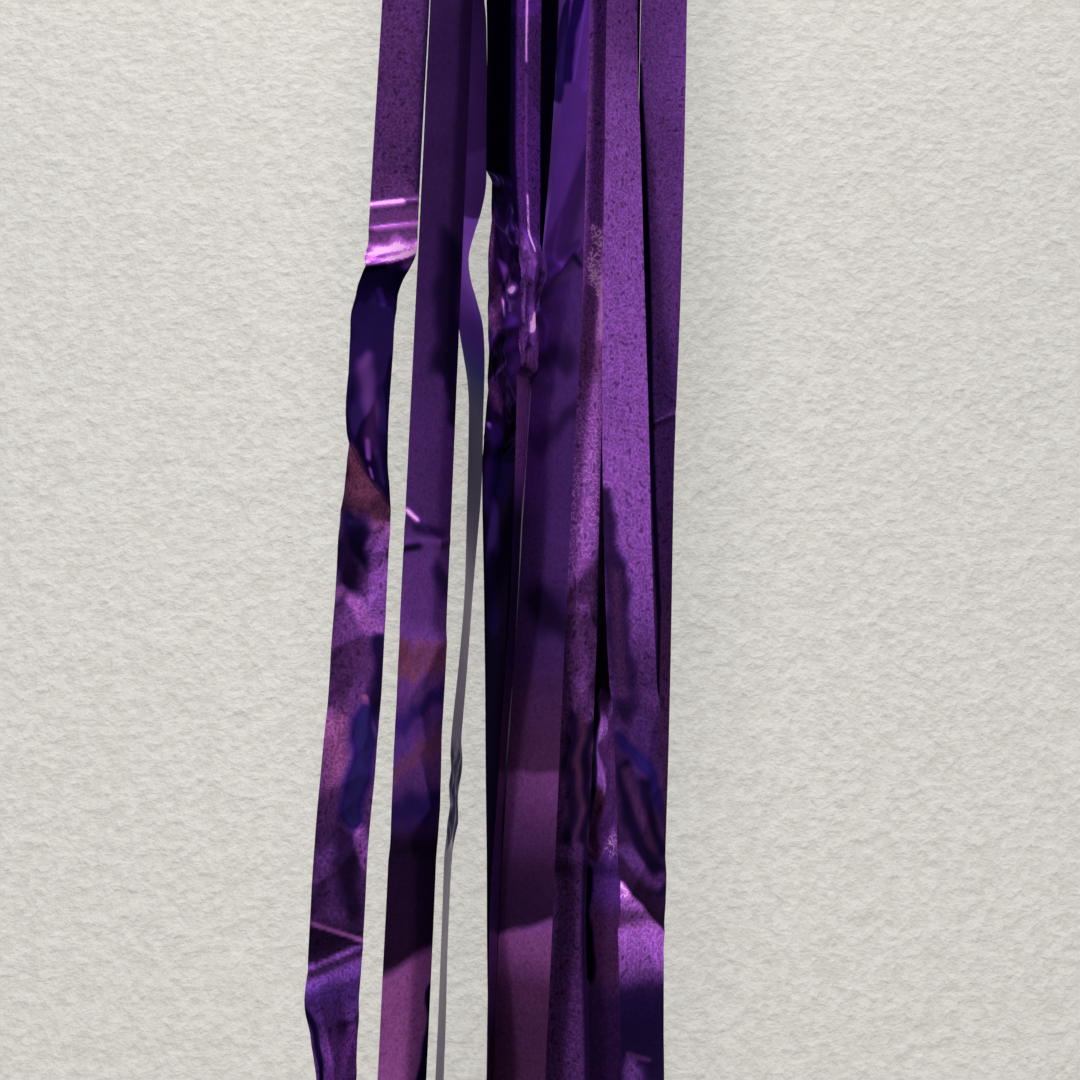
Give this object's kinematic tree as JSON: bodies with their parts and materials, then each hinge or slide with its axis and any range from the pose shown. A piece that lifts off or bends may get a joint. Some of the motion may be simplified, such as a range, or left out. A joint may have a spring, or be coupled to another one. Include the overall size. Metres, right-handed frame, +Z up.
{
  "type": "cheer pom pom",
  "caption": "Hanging pom pom of wide metallised film streamers in two rows, clamped in a moulded stirrup handle with a ribbed foam grip.",
  "frame": {"origin": "middle of the foam grip's underside, where a hand or peg holds the pom pom up", "axes": "+Z up, along the hanging streamers towards the handle; +X right, along the grip; -Y is the front, the side of the screw heads"},
  "size_m": [0.108, 0.0311, 0.454],
  "materials": {
    "handle_shell": "glossy deep violet moulding with a fine mould texture",
    "grip_foam": "matt black closed-cell foam",
    "clamp_pad": "dark smooth rubber",
    "header_tape": "pale paper tape binding the film",
    "screw_steel": "bright plated pan head screws",
    "metallic_film": "mirror-bright metallised purple film, pebbled and creased"
  },
  "bodies": {
    "handle": {"handle_front_shell": "handle_shell", "handle_rear_shell": "handle_shell", "grip_sleeve": "grip_foam", "front_clamp_pad": "clamp_pad", "rear_clamp_pad": "clamp_pad", "front_header_tape": "header_tape", "rear_header_tape": "header_tape", "clamp_screw_left": "screw_steel", "clamp_screw_centre": "screw_steel", "clamp_screw_right": "screw_steel", "post_screw_left": "screw_steel", "post_screw_right": "screw_steel"},
    "front_streamer_1": {"front_streamer_1": "metallic_film"},
    "front_streamer_2": {"front_streamer_2": "metallic_film"},
    "front_streamer_3": {"front_streamer_3": "metallic_film"},
    "front_streamer_4": {"front_streamer_4": "metallic_film"},
    "front_streamer_5": {"front_streamer_5": "metallic_film"},
    "rear_streamer_1": {"rear_streamer_1": "metallic_film"},
    "rear_streamer_2": {"rear_streamer_2": "metallic_film"},
    "rear_streamer_3": {"rear_streamer_3": "metallic_film"},
    "rear_streamer_4": {"rear_streamer_4": "metallic_film"},
    "rear_streamer_5": {"rear_streamer_5": "metallic_film"},
    "rear_streamer_6": {"rear_streamer_6": "metallic_film"}
  },
  "joints": [
    {"name": "front_streamer_1_swing", "type": "hinge", "parent": "handle", "child": "front_streamer_1", "pos_m": [0, -0.0013, -0.045], "axis": [-1, 0, 0], "range_deg": [0, 75]},
    {"name": "front_streamer_2_swing", "type": "hinge", "parent": "handle", "child": "front_streamer_2", "pos_m": [0, -0.0013, -0.045], "axis": [-1, 0, 0], "range_deg": [0, 75]},
    {"name": "front_streamer_3_swing", "type": "hinge", "parent": "handle", "child": "front_streamer_3", "pos_m": [0, -0.0013, -0.045], "axis": [-1, 0, 0], "range_deg": [0, 75]},
    {"name": "front_streamer_4_swing", "type": "hinge", "parent": "handle", "child": "front_streamer_4", "pos_m": [0, -0.0013, -0.045], "axis": [-1, 0, 0], "range_deg": [0, 75]},
    {"name": "front_streamer_5_swing", "type": "hinge", "parent": "handle", "child": "front_streamer_5", "pos_m": [0, -0.0013, -0.045], "axis": [-1, 0, 0], "range_deg": [0, 75]},
    {"name": "rear_streamer_1_swing", "type": "hinge", "parent": "handle", "child": "rear_streamer_1", "pos_m": [0, 0.0013, -0.045], "axis": [1, 0, 0], "range_deg": [0, 75]},
    {"name": "rear_streamer_2_swing", "type": "hinge", "parent": "handle", "child": "rear_streamer_2", "pos_m": [0, 0.0013, -0.045], "axis": [1, 0, 0], "range_deg": [0, 75]},
    {"name": "rear_streamer_3_swing", "type": "hinge", "parent": "handle", "child": "rear_streamer_3", "pos_m": [0, 0.0013, -0.045], "axis": [1, 0, 0], "range_deg": [0, 75]},
    {"name": "rear_streamer_4_swing", "type": "hinge", "parent": "handle", "child": "rear_streamer_4", "pos_m": [0, 0.0013, -0.045], "axis": [1, 0, 0], "range_deg": [0, 75]},
    {"name": "rear_streamer_5_swing", "type": "hinge", "parent": "handle", "child": "rear_streamer_5", "pos_m": [0, 0.0013, -0.045], "axis": [1, 0, 0], "range_deg": [0, 75]},
    {"name": "rear_streamer_6_swing", "type": "hinge", "parent": "handle", "child": "rear_streamer_6", "pos_m": [0, 0.0013, -0.045], "axis": [1, 0, 0], "range_deg": [0, 75]}
  ]
}
